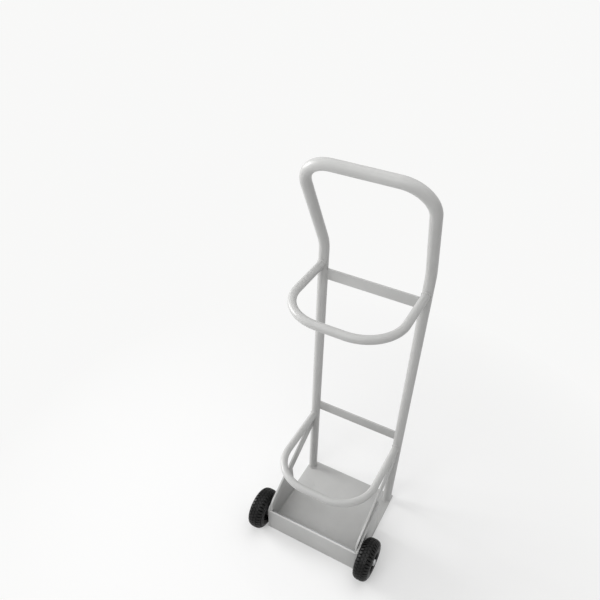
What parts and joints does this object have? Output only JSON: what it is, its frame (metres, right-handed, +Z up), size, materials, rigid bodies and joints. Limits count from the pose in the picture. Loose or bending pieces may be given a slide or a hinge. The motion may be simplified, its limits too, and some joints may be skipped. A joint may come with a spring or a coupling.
{
  "type": "gas cylinder trolley",
  "caption": "Gas cylinder trolley with a bent-tube frame and leaning handle, tube hoops round the cylinder, a flat base with a raised lip, side braces and rubber-tyred wheels.",
  "frame": {"origin": "middle of the base plate's underside, on the floor", "axes": "+Z up, +X to the trolley's right, -Y towards the lip, the wheels and the person who pulls it"},
  "size_m": [0.405, 0.346, 1.1564],
  "materials": {
    "grey_paint": "light grey powder coat, satin",
    "black_rubber": "moulded black rubber",
    "black_plastic": "moulded black plastic",
    "zinc_steel": "bright zinc plate",
    "bush_plastic": "natural nylon"
  },
  "bodies": {
    "frame": {"frame_tube": "grey_paint", "upper_hoop": "grey_paint", "lower_hoop": "grey_paint", "upper_cross_bar": "grey_paint", "lower_cross_bar": "grey_paint", "base_plate": "grey_paint", "front_lip": "grey_paint", "left_side_plate": "grey_paint", "right_side_plate": "grey_paint", "left_brace": "grey_paint", "right_brace": "grey_paint", "foot_welds": "grey_paint", "hoop_welds": "grey_paint", "plate_welds": "grey_paint", "axle": "zinc_steel", "left_axle_collar": "zinc_steel", "left_wheel_spacer": "zinc_steel", "left_wheel_washer": "zinc_steel", "left_hub_nut": "zinc_steel", "right_axle_collar": "zinc_steel", "right_wheel_spacer": "zinc_steel", "right_wheel_washer": "zinc_steel", "right_hub_nut": "zinc_steel"},
    "left_wheel": {"left_tyre": "black_rubber", "left_rim": "black_plastic", "left_bush": "bush_plastic"},
    "right_wheel": {"right_tyre": "black_rubber", "right_rim": "black_plastic", "right_bush": "bush_plastic"}
  },
  "joints": [
    {"name": "left_wheel_spin", "type": "hinge", "parent": "frame", "child": "left_wheel", "pos_m": [-0.176, -0.1345, 0.0635], "axis": [1, 0, 0], "continuous": true},
    {"name": "right_wheel_spin", "type": "hinge", "parent": "frame", "child": "right_wheel", "pos_m": [0.176, -0.1345, 0.0635], "axis": [1, 0, 0], "continuous": true}
  ]
}
